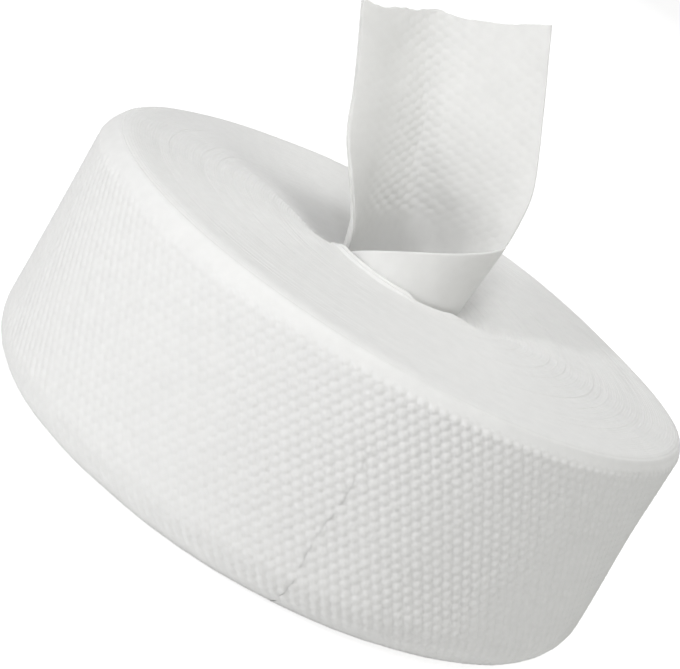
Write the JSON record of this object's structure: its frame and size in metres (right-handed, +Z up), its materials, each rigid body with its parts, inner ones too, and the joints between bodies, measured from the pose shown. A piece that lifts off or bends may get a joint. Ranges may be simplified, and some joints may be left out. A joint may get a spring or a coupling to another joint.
{
  "type": "disposable face towel roll",
  "caption": "Coreless roll of soft embossed nonwoven face towels, with the inner end drawn up out of the centre hole as an open channel.",
  "frame": {"origin": "centre of the face that the roll stands on, on the axis of the roll", "axes": "+Z up along the axis of the roll, -Y towards the front edge of the pulled towel's funnel, -X the side it leans to"},
  "size_m": [0.199, 0.1984, 0.1632],
  "materials": {
    "towel_cloth": "matte"
  },
  "bodies": {
    "root": {"towel_roll": "towel_cloth"}
  },
  "joints": []
}
